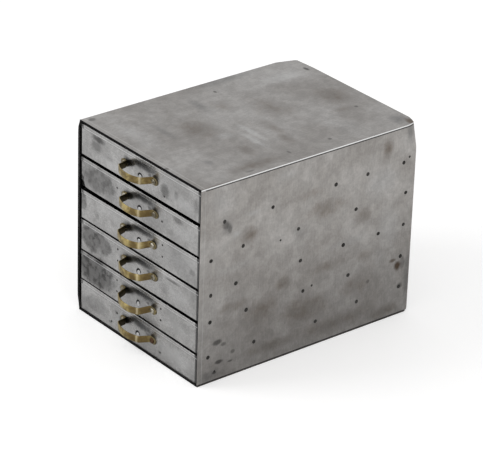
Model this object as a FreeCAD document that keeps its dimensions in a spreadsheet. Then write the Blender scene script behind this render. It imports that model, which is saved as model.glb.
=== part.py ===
# Six-drawer cabinet of folded and spot-welded sheet steel, with a brass bow pull on each drawer.
# Millimetres. X is across the front, Y runs from the front to the back, Z is up.
# The origin is the centre of the base. Drawer 1 is the top one.

import FreeCAD
import Part
import Sketcher
import os
import re
from FreeCAD import Placement, Rotation, Vector

DRAWER_COUNT = 6

SIZES = [
    # the case
    ("case_width", 283),
    ("case_depth", 392),
    ("case_height", 305),
    ("case_sheet", 1.2),
    ("case_flange", 12),
    ("case_hem", 7),
    ("seam_radius", 1.6),
    ("base_bend_radius", 2.4),
    ("rear_bend_radius", 4.5),
    ("top_edge_radius", 0.5),
    ("corner_notch", 6.5),
    # the runners under the five upper drawers
    ("runner_sheet", 1.2),
    ("runner_leg", 12),
    ("runner_ledge", 12),
    ("runner_setback", 9),
    # the drawer fronts
    ("front_sheet", 1),
    ("front_band", 6),
    ("front_fold_radius", 0.8),
    ("front_setback", 0.8),
    ("front_side_gap", 1.1),
    ("front_gap", 3.8),
    # the drawer trays
    ("tray_sheet", 0.9),
    ("tray_inset", 1.2),
    ("tray_drop", 2.5),
    ("tray_hem", 5),
    ("tray_rear_gap", 3),
    # the bow pulls
    ("strap_thick", 1.5),
    ("strap_width", 10.5),
    ("pull_length", 84),
    ("pull_screw_pitch", 69),
    ("pull_rise", 1.5),
    ("foot_span", 58),
    ("shoulder_span", 49),
    ("shoulder_reach", 16.5),
    ("grip_crown", 7.8),
    ("strap_bend_radius", 1.5),
    ("tab_end_radius", 5.1),
    # screws and nuts
    ("screw_radius", 1.9),
    ("screw_head_radius", 4.2),
    ("screw_head_height", 2.3),
    ("screw_head_round", 1.8),
    ("screw_slot_width", 1.1),
    ("screw_slot_depth", 1.2),
    ("screw_tail", 1.5),
    ("nut_radius", 4.2),
    ("nut_height", 3),
    # clearances
    ("fit_gap", 0.3),
    ("hole_gap", 0.15),
    ("nut_gap", 0.05),
    ("cut_overrun", 5),
]

doc = FreeCAD.newDocument("drawer_cabinet")
sizes = doc.addObject("Spreadsheet::Sheet", "Sizes")
for row, (alias, value) in enumerate(SIZES, start=1):
    sizes.set(f"A{row}", alias)
    sizes.set(f"B{row}", str(value))
    sizes.setAlias(f"B{row}", alias)
doc.recompute()

# Expressions that several pieces share, written in the sheet's words.
HALF_WIDTH = "(case_width / 2)"
HALF_DEPTH = "(case_depth / 2)"
BAY_PITCH = f"((case_height - 4 * case_sheet) / {DRAWER_COUNT})"
BAY_FLOOR = "(2 * case_sheet + fit_gap)"
FRONT_HALF = "(case_width / 2 - 2 * case_sheet - front_side_gap)"
FRONT_HEIGHT = f"({BAY_PITCH} - front_gap)"
FACE_Y = "(front_setback + front_sheet - case_depth / 2)"
PULL_Z = f"({BAY_FLOOR} + {FRONT_HEIGHT} / 2 + pull_rise)"
TRAY_HALF = f"({FRONT_HALF} - tray_inset)"
TRAY_FRONT_Y = f"({FACE_Y} + front_sheet)"
TRAY_REAR_Y = "(case_depth / 2 - 2 * case_sheet - tray_rear_gap)"
TRAY_LENGTH = f"({TRAY_REAR_Y} - {TRAY_FRONT_Y})"
TRAY_HEIGHT = f"({FRONT_HEIGHT} - tray_drop)"


def in_cells(text):
    """Turn words such as case_width into references to the sheet's cells."""
    return re.sub(r"[a-z]+(_[a-z]+)+", lambda word: "Sizes." + word.group(), text)


def value_of(text):
    """The number that an expression gives, for an outline's first points and edge searches."""
    return float(sizes.evalExpression(in_cells(text)))


SAME_PLACE = value_of("fit_gap") / 100


def bind(thing, expressions):
    for path, text in expressions.items():
        thing.setExpression(path, in_cells(text))


def place(thing, x="0", y="0", z="0"):
    bind(thing, {"Placement.Base.x": x, "Placement.Base.y": y, "Placement.Base.z": z})


def box(name, low, size):
    made = doc.addObject("Part::Box", name)
    bind(made, {"Length": size[0], "Width": size[1], "Height": size[2]})
    place(made, *low)
    return made


def rod_along_y(name, radius, x, y, z, length):
    """A cylinder that starts at y and runs towards the back."""
    made = doc.addObject("Part::Cylinder", name)
    made.Placement = Placement(Vector(), Rotation(Vector(1, 0, 0), -90))
    bind(made, {"Radius": radius, "Height": length})
    place(made, x, y, z)
    return made


def fused(name, *parts):
    made = doc.addObject("Part::MultiFuse", name)
    made.Shapes = list(parts)
    made.Refine = True
    return made


def cut(name, base, *tools):
    for number, tool in enumerate(tools, start=1):
        step = doc.addObject("Part::Cut", f"{name}_{number}")
        step.Base = base
        step.Tool = tool
        base = step
    return base


def rounded(name, base, *jobs):
    """Fillet the edges that each job picks. A job is a radius in the sheet's words and a test."""
    doc.recompute()
    edges = []
    for radius_text, wanted in jobs:
        radius = value_of(radius_text)
        for index, edge in enumerate(base.Shape.Edges, start=1):
            if wanted(edge):
                edges.append((index, radius, radius))
    made = doc.addObject("Part::Fillet", name)
    made.Base = base
    made.Edges = edges
    return made


def edges_at(**where):
    """A test for edges that lie wholly at the given coordinates, in the sheet's words."""
    def wanted(edge):
        extent = edge.BoundBox
        for axis, text in where.items():
            low = getattr(extent, axis.upper() + "Min")
            high = getattr(extent, axis.upper() + "Max")
            at = value_of(text)
            if abs(low - at) > SAME_PLACE or abs(high - at) > SAME_PLACE:
                return False
        return True
    return wanted


def mirrored(name, source):
    made = doc.addObject("Part::Mirroring", name)
    made.Source = source
    made.Normal = Vector(1, 0, 0)
    return made


finished = {}


def finish(thing, label):
    thing.Label = label
    finished[label] = thing


def in_bay(thing, number):
    """Lift a piece that was drawn in the lowest bay to the bay of its own drawer."""
    place(thing, z=f"{BAY_PITCH} * {DRAWER_COUNT - number}")


# The three folds of the sheet meet at the rear bottom corners, where they are notched at 45 degrees.
def corner_notch(name):
    made = doc.addObject("Part::Box", name)
    made.Placement = Placement(Vector(), Rotation(Vector(1, 0, 0), 45))
    bind(made, {
        "Length": "case_flange + cut_overrun",
        "Width": "corner_notch * sqrt(2) + 2 * cut_overrun",
        "Height": "cut_overrun",
    })
    place(made, f"{HALF_WIDTH} - case_flange", f"{HALF_DEPTH} - corner_notch", "0 - cut_overrun * sqrt(2)")
    return made


# The top is one flat sheet with its front edge folded under and a flange turned down at the rear.
def make_top_panel():
    flat = box(
        "top_flat",
        (f"0 - {HALF_WIDTH}", f"0 - {HALF_DEPTH}", "case_height - case_sheet"),
        ("case_width", "case_depth", "case_sheet"),
    )
    eased = rounded(
        "top_eased", flat,
        ("rear_bend_radius", edges_at(x=HALF_WIDTH, y=HALF_DEPTH)),
        ("rear_bend_radius", edges_at(x=f"0 - {HALF_WIDTH}", y=HALF_DEPTH)),
    )
    softened = rounded(
        "top_softened", eased,
        ("top_edge_radius", edges_at(z="case_height")),
    )
    hem = box(
        "top_hem",
        (f"case_flange + fit_gap - {HALF_WIDTH}", f"0 - {HALF_DEPTH}", "case_height - 2 * case_sheet"),
        ("case_width - 2 * (case_flange + fit_gap)", "case_hem", "case_sheet"),
    )
    rear_flange = box(
        "top_rear_flange",
        (f"case_flange + fit_gap - {HALF_WIDTH}", f"{HALF_DEPTH} - case_sheet",
         "case_height - case_sheet - case_flange"),
        ("case_width - 2 * (case_flange + fit_gap)", "case_sheet", "case_flange"),
    )
    finish(fused("top_sheet", softened, hem, rear_flange), "top_panel")


# The bottom is the top's twin, with its hem and its rear flange turned up.
def make_bottom_panel():
    flat = box(
        "bottom_flat",
        (f"0 - {HALF_WIDTH}", f"0 - {HALF_DEPTH}", "0"),
        ("case_width", "case_depth", "case_sheet"),
    )
    eased = rounded(
        "bottom_eased", flat,
        ("rear_bend_radius", edges_at(x=HALF_WIDTH, y=HALF_DEPTH)),
        ("rear_bend_radius", edges_at(x=f"0 - {HALF_WIDTH}", y=HALF_DEPTH)),
    )
    right_notch = corner_notch("bottom_right_notch")
    notched = cut("bottom_notched", eased, right_notch, mirrored("bottom_left_notch", right_notch))
    hem = box(
        "bottom_hem",
        (f"case_flange + fit_gap - {HALF_WIDTH}", f"0 - {HALF_DEPTH}", "case_sheet"),
        ("case_width - 2 * (case_flange + fit_gap)", "case_hem", "case_sheet"),
    )
    rear_flange = box(
        "bottom_rear_flange",
        (f"case_flange + fit_gap - {HALF_WIDTH}", f"{HALF_DEPTH} - case_sheet", "case_sheet"),
        ("case_width - 2 * (case_flange + fit_gap)", "case_sheet", "case_flange"),
    )
    finish(fused("bottom_sheet", notched, hem, rear_flange), "bottom_panel")


# A side is a shallow pan on its edge: a wall with flanges turned in at the top, bottom and rear,
# and a front edge that is folded flat on itself.
def make_side_panels():
    outside = box(
        "side_outside",
        (f"{HALF_WIDTH} - case_flange", f"0 - {HALF_DEPTH}", "case_sheet"),
        ("case_flange", "case_depth", "case_height - 2 * case_sheet"),
    )
    outside = rounded(
        "side_outside_bends", outside,
        ("rear_bend_radius", edges_at(x=HALF_WIDTH, y=HALF_DEPTH)),
        ("seam_radius", edges_at(x=HALF_WIDTH, z="case_height - case_sheet")),
        ("base_bend_radius", edges_at(x=HALF_WIDTH, z="case_sheet")),
    )
    inside = box(
        "side_inside",
        (f"{HALF_WIDTH} - case_flange - cut_overrun", f"0 - {HALF_DEPTH} - cut_overrun", "2 * case_sheet"),
        ("case_flange + cut_overrun - case_sheet", "case_depth + cut_overrun - case_sheet",
         "case_height - 4 * case_sheet"),
    )
    inside = rounded(
        "side_inside_bends", inside,
        ("rear_bend_radius - case_sheet",
         edges_at(x=f"{HALF_WIDTH} - case_sheet", y=f"{HALF_DEPTH} - case_sheet")),
        ("seam_radius - case_sheet",
         edges_at(x=f"{HALF_WIDTH} - case_sheet", z="case_height - 2 * case_sheet")),
        ("base_bend_radius - case_sheet",
         edges_at(x=f"{HALF_WIDTH} - case_sheet", z="2 * case_sheet")),
    )
    pan = cut("side_pan", outside, inside, corner_notch("side_notch"))
    hem = box(
        "side_hem",
        (f"{HALF_WIDTH} - 2 * case_sheet", f"0 - {HALF_DEPTH}", "base_bend_radius + case_sheet"),
        ("case_sheet", "case_hem", "case_height - 2 * (base_bend_radius + case_sheet)"),
    )
    right = fused("right_side", pan, hem)
    finish(right, "right_side_panel")
    finish(mirrored("left_side", right), "left_side_panel")


# The back is a flat sheet, welded to the inner faces of the flanges around it.
def make_back_panel():
    sheet = box(
        "back_sheet",
        (f"rear_bend_radius - {HALF_WIDTH}", f"{HALF_DEPTH} - 2 * case_sheet", "2 * case_sheet"),
        ("case_width - 2 * rear_bend_radius", "case_sheet", "case_height - 4 * case_sheet"),
    )
    finish(sheet, "back_panel")


# A runner is an angle strip: its leg is welded to the wall and its ledge carries the drawer above.
def make_runners():
    ledge_top = f"(2 * case_sheet + {BAY_PITCH})"
    runner_length = f"(case_depth - runner_setback - 2 * case_sheet)"
    for number in range(1, DRAWER_COUNT):
        leg = box(
            f"runner_leg_{number}",
            (f"{HALF_WIDTH} - case_sheet - runner_sheet", f"runner_setback - {HALF_DEPTH}",
             f"{ledge_top} - runner_leg"),
            ("runner_sheet", runner_length, "runner_leg"),
        )
        ledge = box(
            f"runner_ledge_{number}",
            (f"{HALF_WIDTH} - case_sheet - runner_ledge", f"runner_setback - {HALF_DEPTH}",
             f"{ledge_top} - runner_sheet"),
            ("runner_ledge", runner_length, "runner_sheet"),
        )
        right = fused(f"angle_right_{number}", leg, ledge)
        place(right, z=f"{BAY_PITCH} * {DRAWER_COUNT - 1 - number}")
        finish(right, f"runner_right_{number}")
        finish(mirrored(f"angle_left_{number}", right), f"runner_left_{number}")


def screw_holes(name, length):
    """Clearance holes for a pull's two screws, from in front of the pull to behind the sheet."""
    holes = []
    for side, sign in (("left", "0 - "), ("right", "")):
        holes.append(rod_along_y(
            f"{name}_{side}", "screw_radius + hole_gap",
            f"{sign}pull_screw_pitch / 2", f"{FACE_Y} - strap_thick - cut_overrun", PULL_Z, length,
        ))
    return holes


# The front plate, with the doubled band of its top hem proud of the face.
def make_drawer_front(number):
    face = box(
        f"face_{number}",
        (f"0 - {FRONT_HALF}", FACE_Y, BAY_FLOOR),
        (f"2 * {FRONT_HALF}", "front_sheet", FRONT_HEIGHT),
    )
    band = box(
        f"band_{number}",
        (f"0 - {FRONT_HALF}", f"{FACE_Y} - front_sheet", f"{BAY_FLOOR} + {FRONT_HEIGHT} - front_band"),
        (f"2 * {FRONT_HALF}", "front_sheet", "front_band"),
    )
    folded = rounded(
        f"front_fold_{number}", fused(f"front_blank_{number}", face, band),
        ("front_fold_radius",
         edges_at(y=f"{FACE_Y} - front_sheet", z=f"{BAY_FLOOR} + {FRONT_HEIGHT}")),
    )
    holes = screw_holes(f"front_hole_{number}", "strap_thick + 2 * cut_overrun")
    front = cut(f"front_{number}", folded, *holes)
    in_bay(front, number)
    finish(front, f"drawer_{number}_front")


# The tray is one folded sheet: a floor, two sides and a rear wall, with a hem turned in along their
# tops. Its front edges are welded to the back of the drawer's front.
def make_drawer_tray(number):
    blank = box(
        f"tray_blank_{number}",
        (f"0 - {TRAY_HALF}", TRAY_FRONT_Y, BAY_FLOOR),
        (f"2 * {TRAY_HALF}", TRAY_LENGTH, TRAY_HEIGHT),
    )
    below_hem = box(
        f"tray_below_hem_{number}",
        (f"tray_sheet - {TRAY_HALF}", f"{TRAY_FRONT_Y} - cut_overrun", f"{BAY_FLOOR} + tray_sheet"),
        (f"2 * ({TRAY_HALF} - tray_sheet)", f"{TRAY_LENGTH} + cut_overrun - tray_sheet",
         f"{TRAY_HEIGHT} - tray_sheet - tray_hem"),
    )
    at_hem = box(
        f"tray_at_hem_{number}",
        (f"2 * tray_sheet - {TRAY_HALF}", f"{TRAY_FRONT_Y} - cut_overrun",
         f"{BAY_FLOOR} + tray_sheet"),
        (f"2 * ({TRAY_HALF} - 2 * tray_sheet)", f"{TRAY_LENGTH} + cut_overrun - 2 * tray_sheet",
         f"{TRAY_HEIGHT} + cut_overrun"),
    )
    tray = cut(f"tray_{number}", blank, below_hem, at_hem)
    in_bay(tray, number)
    finish(tray, f"drawer_{number}_tray")


def outline_sketch(body, points, arcs):
    """A closed outline on the XY plane, with every corner bound to the sheet.

    A point is a pair of expressions. arcs maps the number of a run, from its first point to the
    next, to the expressions of the bulge's tip and the radius.
    """
    sketch = body.newObject("Sketcher::SketchObject", body.Name + "_outline")
    plane = [feature for feature in body.Origin.OriginFeatures if feature.Role == "XY_Plane"][0]
    sketch.AttachmentSupport = (plane, "")
    sketch.MapMode = "FlatFace"
    corners = [Vector(value_of(x), value_of(y), 0) for x, y in points]
    count = len(points)
    for run in range(count):
        start = corners[run]
        end = corners[(run + 1) % count]
        if run in arcs:
            tip = Vector(value_of(arcs[run][0]), value_of(arcs[run][1]), 0)
            sketch.addGeometry(Part.Arc(start, tip, end), False)
        else:
            sketch.addGeometry(Part.LineSegment(start, end), False)
    for run, corner in enumerate(corners):
        before = (run - 1) % count
        sketch.addConstraint(Sketcher.Constraint(
            "Coincident", run, end_at(sketch, run, corner), before, end_at(sketch, before, corner)))
    for run, (x, y) in enumerate(points):
        end_number = end_at(sketch, run, corners[run])
        for kind, text, at in (("DistanceX", x, corners[run].x), ("DistanceY", y, corners[run].y)):
            index = sketch.addConstraint(Sketcher.Constraint(kind, -1, 1, run, end_number, at))
            sketch.setExpression(f"Constraints[{index}]", in_cells(text))
    for run, (_, _, radius) in arcs.items():
        index = sketch.addConstraint(Sketcher.Constraint("Radius", run, value_of(radius)))
        sketch.setExpression(f"Constraints[{index}]", in_cells(radius))
    return sketch


def end_at(sketch, run, corner):
    """Which end of a run, 1 or 2, lies at the corner."""
    return 1 if sketch.getPoint(run, 1).distanceToPoint(corner) < SAME_PLACE else 2


def other_side(points):
    return [("0 - " + x, y) for x, y in reversed(points)]


# The pull is one brass strap, bent to two feet, two legs and a bowed grip.
def make_drawer_handle(number):
    reach = f"({FACE_Y} - shoulder_reach)"
    foot = f"({FACE_Y} - strap_thick)"
    inner_foot = "(foot_span / 2 - strap_thick)"
    inner_shoulder = "(shoulder_span / 2 - strap_thick)"
    crown_radius = "((shoulder_span * shoulder_span / 4 + grip_crown * grip_crown) / (2 * grip_crown))"
    inner_radius = f"(({inner_shoulder} * {inner_shoulder} + grip_crown * grip_crown) / (2 * grip_crown))"
    right_side = [
        ("pull_length / 2", FACE_Y),
        ("pull_length / 2", foot),
        ("foot_span / 2", foot),
        ("shoulder_span / 2", reach),
    ]
    inner_side = [
        (inner_shoulder, f"{reach} + strap_thick"),
        (inner_foot, FACE_Y),
    ]
    points = right_side + other_side(right_side) + other_side(inner_side) + inner_side
    outer_run = len(right_side) - 1
    inner_run = 2 * len(right_side) + 1
    arcs = {
        outer_run: ("0", f"{reach} - grip_crown", crown_radius),
        inner_run: ("0", f"{reach} + strap_thick - grip_crown", inner_radius),
    }
    body = doc.addObject("PartDesign::Body", f"strap_{number}")
    sketch = outline_sketch(body, points, arcs)
    pad = body.newObject("PartDesign::Pad", f"strap_pad_{number}")
    pad.Profile = sketch
    bind(pad, {"Length": "strap_width"})
    body.Tip = pad
    place(body, z=f"{PULL_Z} - strap_width / 2")
    sketch.Visibility = False

    def bend_at(x, y):
        return [edges_at(x=x, y=y), edges_at(x="0 - " + x, y=y)]

    outer = "strap_bend_radius + strap_thick"
    jobs = [("strap_bend_radius", test) for test in bend_at("foot_span / 2", foot)]
    jobs += [("strap_bend_radius", test)
             for test in bend_at(inner_shoulder, f"{reach} + strap_thick")]
    jobs += [(outer, test) for test in bend_at("shoulder_span / 2", reach)]
    jobs += [(outer, test) for test in bend_at(inner_foot, FACE_Y)]
    for z_text in (f"{PULL_Z} - strap_width / 2", f"{PULL_Z} + strap_width / 2"):
        for sign in ("", "0 - "):
            jobs.append(("tab_end_radius", edges_at(x=f"{sign}pull_length / 2", z=z_text)))
    bent = rounded(f"strap_bent_{number}", body, *jobs)
    handle = cut(f"handle_{number}", bent, *screw_holes(f"strap_hole_{number}",
                                                        "strap_thick + 2 * cut_overrun"))
    in_bay(handle, number)
    finish(handle, f"drawer_{number}_handle")


# Slotted round-head screws, one at each foot of the pull.
def make_drawer_screws(number):
    screws = []
    for side, sign in (("left", "0 - "), ("right", "")):
        x = f"{sign}pull_screw_pitch / 2"
        seat = f"({FACE_Y} - strap_thick)"
        head = rod_along_y(
            f"screw_head_{side}_{number}", "screw_head_radius",
            x, f"{seat} - screw_head_height", PULL_Z, "screw_head_height",
        )
        domed = rounded(
            f"screw_dome_{side}_{number}", head,
            ("screw_head_round", edges_at(y=f"{seat} - screw_head_height")),
        )
        shank = rod_along_y(
            f"screw_shank_{side}_{number}", "screw_radius", x, seat, PULL_Z,
            "strap_thick + front_sheet + nut_height + screw_tail",
        )
        slot = box(
            f"screw_slot_{side}_{number}",
            (f"{x} - screw_head_radius - cut_overrun", f"{seat} - screw_head_height - cut_overrun",
             f"{PULL_Z} - screw_slot_width / 2"),
            ("2 * (screw_head_radius + cut_overrun)", "cut_overrun + screw_slot_depth", "screw_slot_width"),
        )
        whole = fused(f"screw_blank_{side}_{number}", domed, shank)
        screws.append(cut(f"screw_{side}_{number}", whole, slot))
    pair = doc.addObject("Part::Compound", f"screws_{number}")
    pair.Links = screws
    in_bay(pair, number)
    finish(pair, f"drawer_{number}_screws")


# Hexagon nuts on the screws, against the back of the drawer's front.
def make_drawer_nuts(number):
    nuts = []
    for side, sign in (("left", "0 - "), ("right", "")):
        x = f"{sign}pull_screw_pitch / 2"
        hexagon = doc.addObject("Part::Prism", f"nut_hexagon_{side}_{number}")
        hexagon.Polygon = 6
        hexagon.Placement = Placement(Vector(), Rotation(Vector(1, 0, 0), -90))
        bind(hexagon, {"Circumradius": "nut_radius", "Height": "nut_height"})
        place(hexagon, x, TRAY_FRONT_Y, PULL_Z)
        bore = rod_along_y(
            f"nut_bore_{side}_{number}", "screw_radius + nut_gap",
            x, f"{TRAY_FRONT_Y} - cut_overrun", PULL_Z, "nut_height + 2 * cut_overrun",
        )
        nuts.append(cut(f"nut_{side}_{number}", hexagon, bore))
    pair = doc.addObject("Part::Compound", f"nuts_{number}")
    pair.Links = nuts
    in_bay(pair, number)
    finish(pair, f"drawer_{number}_nuts")


make_top_panel()
make_bottom_panel()
make_side_panels()
make_back_panel()
make_runners()
for drawer in range(1, DRAWER_COUNT + 1):
    make_drawer_front(drawer)
    make_drawer_tray(drawer)
    make_drawer_handle(drawer)
    make_drawer_screws(drawer)
    make_drawer_nuts(drawer)

doc.recompute()
for thing in doc.Objects:
    if "Invalid" in thing.State or "Error" in thing.State:
        raise RuntimeError(f"{thing.Name} failed: {thing.State}")
for label, thing in finished.items():
    if thing.Shape.isNull() or not thing.Shape.isValid():
        raise RuntimeError(f"{label} has no valid shape")

os.makedirs("parts", exist_ok=True)
for label, thing in finished.items():
    thing.Shape.exportStep(f"parts/{label}.step")
    extent = thing.Shape.BoundBox
    print(f"{label}: {len(thing.Shape.Solids)} solid, {thing.Shape.Volume:.0f} mm3, "
          f"z {extent.ZMin:.2f} to {extent.ZMax:.2f}")
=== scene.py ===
# %% [markdown]
# # A six-drawer steel cabinet
# The cabinet is folded from sheet steel, stripped of its paint and brushed. Each of its six shallow
# drawers has a brass bow pull. The solids come in as a fixed frame, and this lesson gives them their
# looks: mottled steel, aged brass, weld marks, stains and a set of hand-bent pulls.

# %% Load the frame
import math

import bmesh
import bpy
from mathutils import Matrix, Vector


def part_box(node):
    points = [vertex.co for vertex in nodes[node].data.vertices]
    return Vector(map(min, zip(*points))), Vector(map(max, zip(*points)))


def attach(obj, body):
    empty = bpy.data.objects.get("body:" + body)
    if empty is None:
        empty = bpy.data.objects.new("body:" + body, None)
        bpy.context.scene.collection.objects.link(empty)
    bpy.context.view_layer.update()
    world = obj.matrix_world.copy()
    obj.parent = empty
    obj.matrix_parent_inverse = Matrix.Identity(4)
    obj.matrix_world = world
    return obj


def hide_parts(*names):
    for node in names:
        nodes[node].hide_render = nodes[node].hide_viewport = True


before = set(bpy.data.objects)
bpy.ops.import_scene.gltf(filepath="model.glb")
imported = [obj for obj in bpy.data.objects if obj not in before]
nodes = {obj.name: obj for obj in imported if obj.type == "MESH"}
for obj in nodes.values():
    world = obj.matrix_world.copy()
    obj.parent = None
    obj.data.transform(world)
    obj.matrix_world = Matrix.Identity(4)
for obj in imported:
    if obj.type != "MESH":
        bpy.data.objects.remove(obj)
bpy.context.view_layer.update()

MM = 0.001
DRAWERS = range(1, 7)
HALF_WIDTH, HALF_DEPTH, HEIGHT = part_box("top_panel")[1]
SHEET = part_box("back_panel")[1].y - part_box("back_panel")[0].y
FRONT_TOPS = [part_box(f"drawer_{number}_front")[1].z for number in DRAWERS]
BAY_PITCH = FRONT_TOPS[0] - FRONT_TOPS[1]
PULL_HEIGHTS = [sum(corner.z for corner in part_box(f"drawer_{number}_handle")) / 2 / MM
                for number in DRAWERS]
HEM_DEPTH = 7 * MM
SCREW_X = 34.5 * MM
print("case", HALF_WIDTH, HALF_DEPTH, HEIGHT, "sheet", SHEET)

# %% [markdown]
# ## Camera
# The photograph was taken with a long lens from the right and above, and the camera was turned a
# little about its own axis. A long lens makes the far corner almost as large as the near one, so the
# distance matters as much as the angle. The numbers below were solved from the seven visible corners.

# %% Camera
AZIMUTH = math.radians(50.70)
ELEVATION = math.radians(26.63)
ROLL = math.radians(1.86)
DISTANCE = 4.084
AIM_RIGHT = -7.35 * MM
AIM_UP = -11.6 * MM
LENS = 210.6

toward_camera = Vector((
    math.sin(AZIMUTH) * math.cos(ELEVATION),
    -math.cos(AZIMUTH) * math.cos(ELEVATION),
    math.sin(ELEVATION),
))
right = (-toward_camera).cross(Vector((0, 0, 1))).normalized()
up = right.cross(-toward_camera)
aim = Vector((0, 0, HEIGHT / 2)) + right * AIM_RIGHT + up * AIM_UP
camera = bpy.data.objects.new("camera", bpy.data.cameras.new("camera"))
bpy.context.scene.collection.objects.link(camera)
camera.data.lens = LENS
camera.data.clip_end = 20
turned = Matrix.Rotation(ROLL, 3, toward_camera)
camera.matrix_world = Matrix.Translation(aim + toward_camera * DISTANCE) @ Matrix((
    turned @ right, turned @ up, toward_camera,
)).transposed().to_4x4()
bpy.context.scene.camera = camera
print("camera at", tuple(round(value, 3) for value in camera.location))

# %% [markdown]
# ## Helpers for node trees
# Every material and every Geometry Nodes tree below is a graph. Two helpers keep the code close to
# what it draws: one adds a node and fills or links its inputs, the other starts a node group with
# named sockets.


# %% Node helpers
def add(tree, kind, inputs=None, **settings):
    made = tree.nodes.new(kind)
    for name, value in settings.items():
        setattr(made, name, value)
    for key, value in (inputs or {}).items():
        if isinstance(value, bpy.types.NodeSocket):
            tree.links.new(value, made.inputs[key])
        else:
            made.inputs[key].default_value = value
    return made


def start_group(name, kind, inputs, outputs):
    tree = bpy.data.node_groups.new(name, kind)
    for label, socket_type, default in inputs:
        socket = tree.interface.new_socket(label, in_out="INPUT", socket_type=socket_type)
        if default is not None:
            socket.default_value = default
    for label, socket_type in outputs:
        tree.interface.new_socket(label, in_out="OUTPUT", socket_type=socket_type)
    return tree, add(tree, "NodeGroupInput").outputs, add(tree, "NodeGroupOutput").inputs


def maths(tree, operation, first, second=0.5, clamp=False):
    made = add(tree, "ShaderNodeMath", {0: first, 1: second}, operation=operation, use_clamp=clamp)
    return made.outputs[0]


def vector_maths(tree, operation, first, second=(0, 0, 0)):
    made = add(tree, "ShaderNodeVectorMath", {0: first, 1: second}, operation=operation)
    return made.outputs["Value" if operation == "LENGTH" else "Vector"]


def blend_colour(tree, factor, first, second, kind="MIX"):
    made = add(tree, "ShaderNodeMix", data_type="RGBA", blend_type=kind)
    for index, value in ((0, factor), (6, first), (7, second)):
        if isinstance(value, bpy.types.NodeSocket):
            tree.links.new(value, made.inputs[index])
        else:
            made.inputs[index].default_value = value
    return made.outputs[2]


def ramp(tree, value, low, high, out_low=0.0, out_high=1.0):
    made = add(tree, "ShaderNodeMapRange", {
        "Value": value, "From Min": low, "From Max": high, "To Min": out_low, "To Max": out_high,
    }, interpolation_type="SMOOTHSTEP")
    return made.outputs["Result"]


def grey(level, warmth=0.0):
    """A colour from a display level of 0 to 255, a little warmer or cooler than neutral."""
    def linear(value):
        share = max(value, 0) / 255
        return share / 12.92 if share <= 0.04045 else ((share + 0.055) / 1.055) ** 2.4
    return linear(level + warmth), linear(level), linear(level - warmth), 1.0


# %% [markdown]
# ## Shared effects
# Three effects return on most of the metal. Clouds are the blotchy tone that paint stripper leaves
# and, made small, the fine grain of etched steel. Brush lines are the scratches of a wire wheel. A
# stain is one soft-edged spot at a known place. Each is a node group, built once and placed with its
# own values, so that a change to the effect reaches every sheet.


# %% Clouds, brush lines and stains
def build_clouds():
    tree, given, result = start_group("clouds", "ShaderNodeTree", [
        ("Place", "NodeSocketVector", None), ("Cloud Size", "NodeSocketFloat", 0.05),
        ("Stretch", "NodeSocketVector", (1, 1, 1)), ("Low", "NodeSocketFloat", 0.35),
        ("High", "NodeSocketFloat", 0.65), ("Seed", "NodeSocketFloat", 0.0),
    ], [("Mask", "NodeSocketFloat")])
    size = maths(tree, "DIVIDE", 1.0, given["Cloud Size"])
    scaled = add(tree, "ShaderNodeVectorMath", {0: given["Place"], "Scale": size}, operation="SCALE")
    stretched = vector_maths(tree, "MULTIPLY", scaled.outputs["Vector"], given["Stretch"])
    noise = add(tree, "ShaderNodeTexNoise", {
        "Vector": stretched, "W": given["Seed"], "Scale": 1.0, "Detail": 7.0, "Roughness": 0.6,
        "Distortion": 0.3,
    }, noise_dimensions="4D")
    tree.links.new(ramp(tree, noise.outputs["Fac"], given["Low"], given["High"]), result["Mask"])
    return tree


def build_brush_lines():
    tree, given, result = start_group("brush lines", "ShaderNodeTree", [
        ("Place", "NodeSocketVector", None), ("Stretch", "NodeSocketVector", (1, 1, 1)),
        ("Seed", "NodeSocketFloat", 0.0),
    ], [("Lines", "NodeSocketFloat")])
    stretched = vector_maths(tree, "MULTIPLY", given["Place"], given["Stretch"])
    coarse = add(tree, "ShaderNodeTexNoise", {
        "Vector": stretched, "W": given["Seed"], "Scale": 1.0, "Detail": 3.0, "Roughness": 0.6,
    }, noise_dimensions="4D")
    tree.links.new(coarse.outputs["Fac"], result["Lines"])
    return tree


def build_stain():
    tree, given, result = start_group("stain", "ShaderNodeTree", [
        ("Place", "NodeSocketVector", None), ("Centre", "NodeSocketVector", (0, 0, 0)),
        ("Radii", "NodeSocketVector", (0.01, 0.01, 0.01)), ("Ragged", "NodeSocketFloat", 0.5),
        ("Soft", "NodeSocketFloat", 0.6), ("Amount", "NodeSocketFloat", 1.0),
    ], [("Mask", "NodeSocketFloat")])
    offset = vector_maths(tree, "SUBTRACT", given["Place"], given["Centre"])
    reach = vector_maths(tree, "LENGTH", vector_maths(tree, "DIVIDE", offset, given["Radii"]))
    noise = add(tree, "ShaderNodeTexNoise", {
        "Vector": given["Place"], "Scale": 90.0, "Detail": 6.0, "Roughness": 0.62,
    })
    wobble = maths(tree, "MULTIPLY", maths(tree, "SUBTRACT", noise.outputs["Fac"], 0.5), given["Ragged"])
    edge = maths(tree, "ADD", reach, maths(tree, "MULTIPLY", wobble, 3.0))
    inner = maths(tree, "SUBTRACT", 1.0, given["Soft"])
    mask = ramp(tree, edge, inner, 1.0, 1.0, 0.0)
    tree.links.new(maths(tree, "MULTIPLY", mask, given["Amount"]), result["Mask"])
    return tree


CLOUDS = build_clouds()
BRUSH_LINES = build_brush_lines()
STAIN = build_stain()
print("shared effects:", ", ".join(group.name for group in (CLOUDS, BRUSH_LINES, STAIN)))


# %% Put the effects in a material
def use_group(tree, group, place, values):
    made = add(tree, "ShaderNodeGroup", node_tree=group)
    tree.links.new(place, made.inputs["Place"])
    for name, value in values.items():
        made.inputs[name].default_value = value
    return made.outputs[0]


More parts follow.
